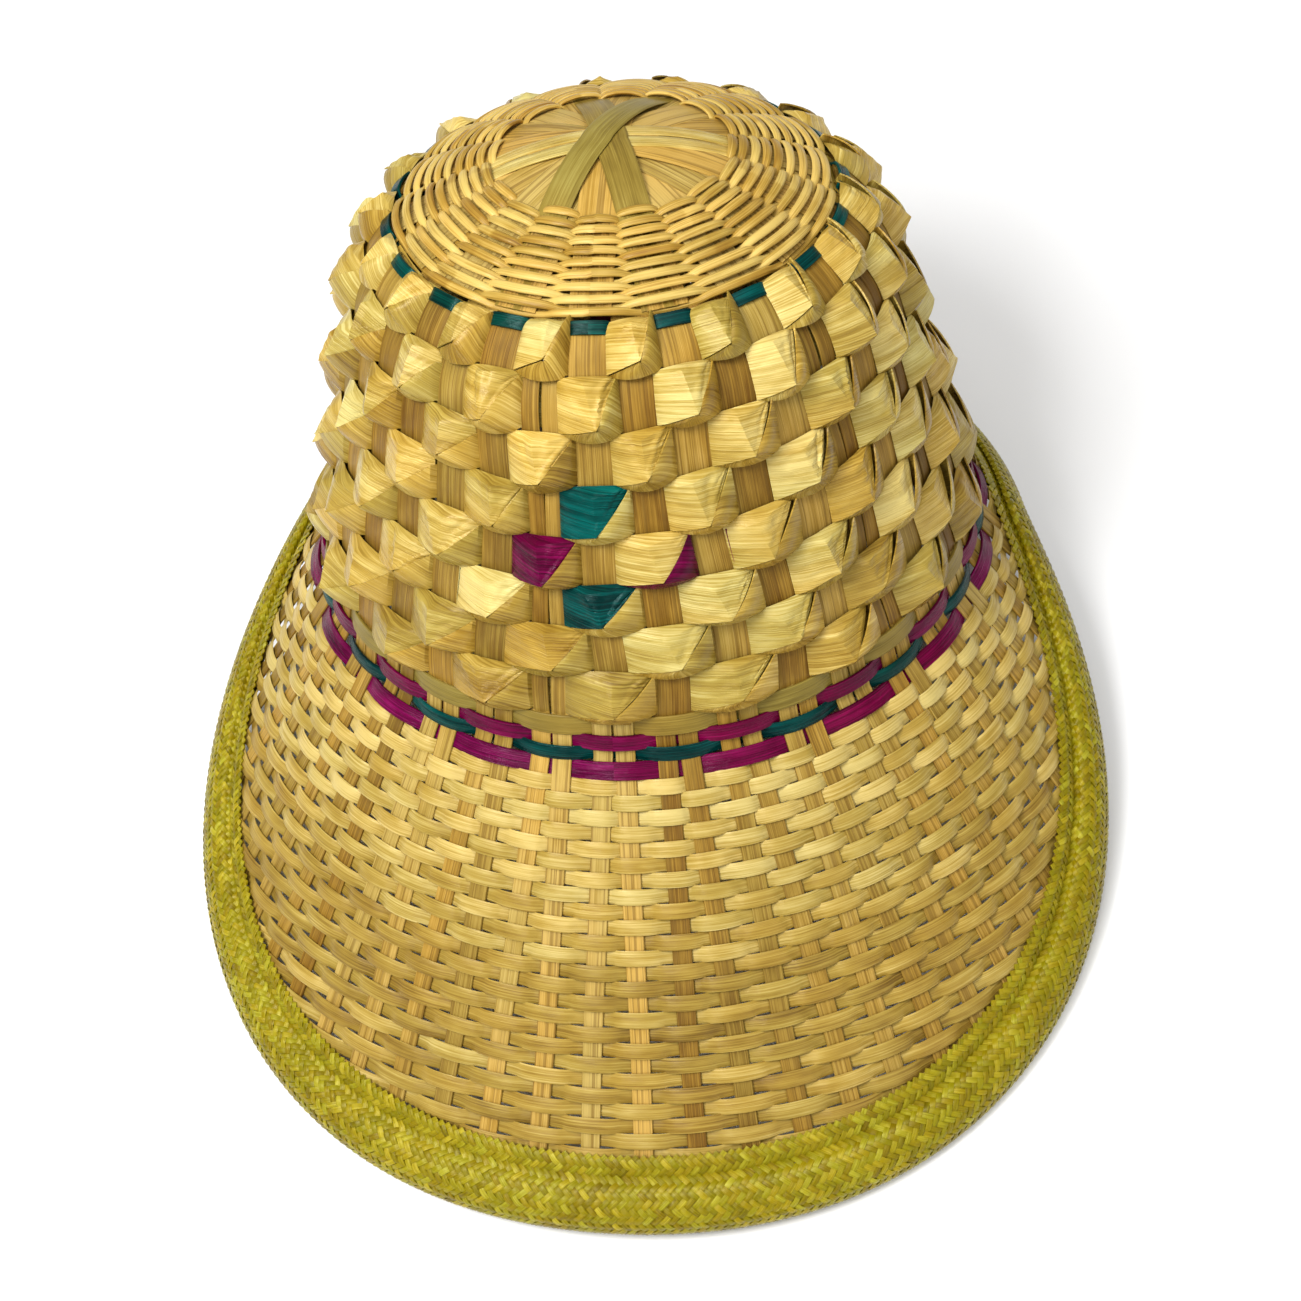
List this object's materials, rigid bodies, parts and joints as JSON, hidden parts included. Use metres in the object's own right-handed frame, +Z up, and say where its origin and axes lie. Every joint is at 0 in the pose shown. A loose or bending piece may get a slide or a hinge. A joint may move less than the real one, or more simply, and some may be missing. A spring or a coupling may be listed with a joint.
{
  "type": "woven sun hat",
  "caption": "Woven splint sun hat with a knotted round crown, a domed woven lid and a wide sloping front peak bound in braided straw tape.",
  "frame": {"origin": "centre of the hat's plan on the surface it stands on, tape edge down", "axes": "-Y towards the front of the peak, +X to the right of someone who faces the front, +Z up; the crown's own axis leans back 16.5 degrees from +Z"},
  "size_m": [0.2622, 0.2966, 0.1678],
  "materials": {
    "straw": "satin",
    "splint": "satin",
    "olive": "satin",
    "teal": "satin",
    "magenta": "satin",
    "tape": "glossy"
  },
  "bodies": {
    "root": {"lid_splints": "splint", "cross_splint_left": "olive", "cross_splint_right": "olive", "cross_splint_pair": "straw", "lid_pair_1": "straw", "lid_pair_2": "straw", "lid_pair_3": "straw", "lid_pair_4": "straw", "lid_pair_5": "straw", "lid_pair_6": "straw", "lid_pair_7": "straw", "lid_pair_8": "straw", "lid_pair_9": "straw", "lid_edge_row": "teal", "crown_stakes": "splint", "knot_row_1": "straw", "knot_row_2": "straw", "knot_row_3": "straw", "knot_row_4": "straw", "knot_row_5": "straw", "knot_row_6": "straw", "knot_row_7": "straw", "knot_row_8": "straw", "teal_knots": "teal", "magenta_knots": "magenta", "band_hoop": "olive", "band_row_upper": "magenta", "band_row_teal": "teal", "band_row_lower": "magenta", "brim_stakes": "splint", "brim_row_1": "straw", "brim_row_2": "straw", "brim_row_3": "straw", "brim_row_4": "straw", "brim_row_5": "straw", "brim_row_6": "straw", "brim_row_7": "straw", "brim_row_8": "straw", "brim_row_9": "straw", "brim_row_10": "straw", "brim_row_11": "straw", "brim_row_12": "straw", "brim_row_13": "straw", "brim_row_14": "straw", "brim_row_15": "straw", "brim_row_16": "straw", "brim_row_17": "straw", "brim_row_18": "straw", "brim_row_19": "straw", "brim_row_20": "straw", "brim_row_21": "straw", "brim_row_22": "straw", "brim_row_23": "straw", "brim_row_24": "straw", "brim_row_25": "straw", "brim_row_26": "straw", "edge_reed": "splint", "edge_tape": "tape"}
  },
  "joints": []
}
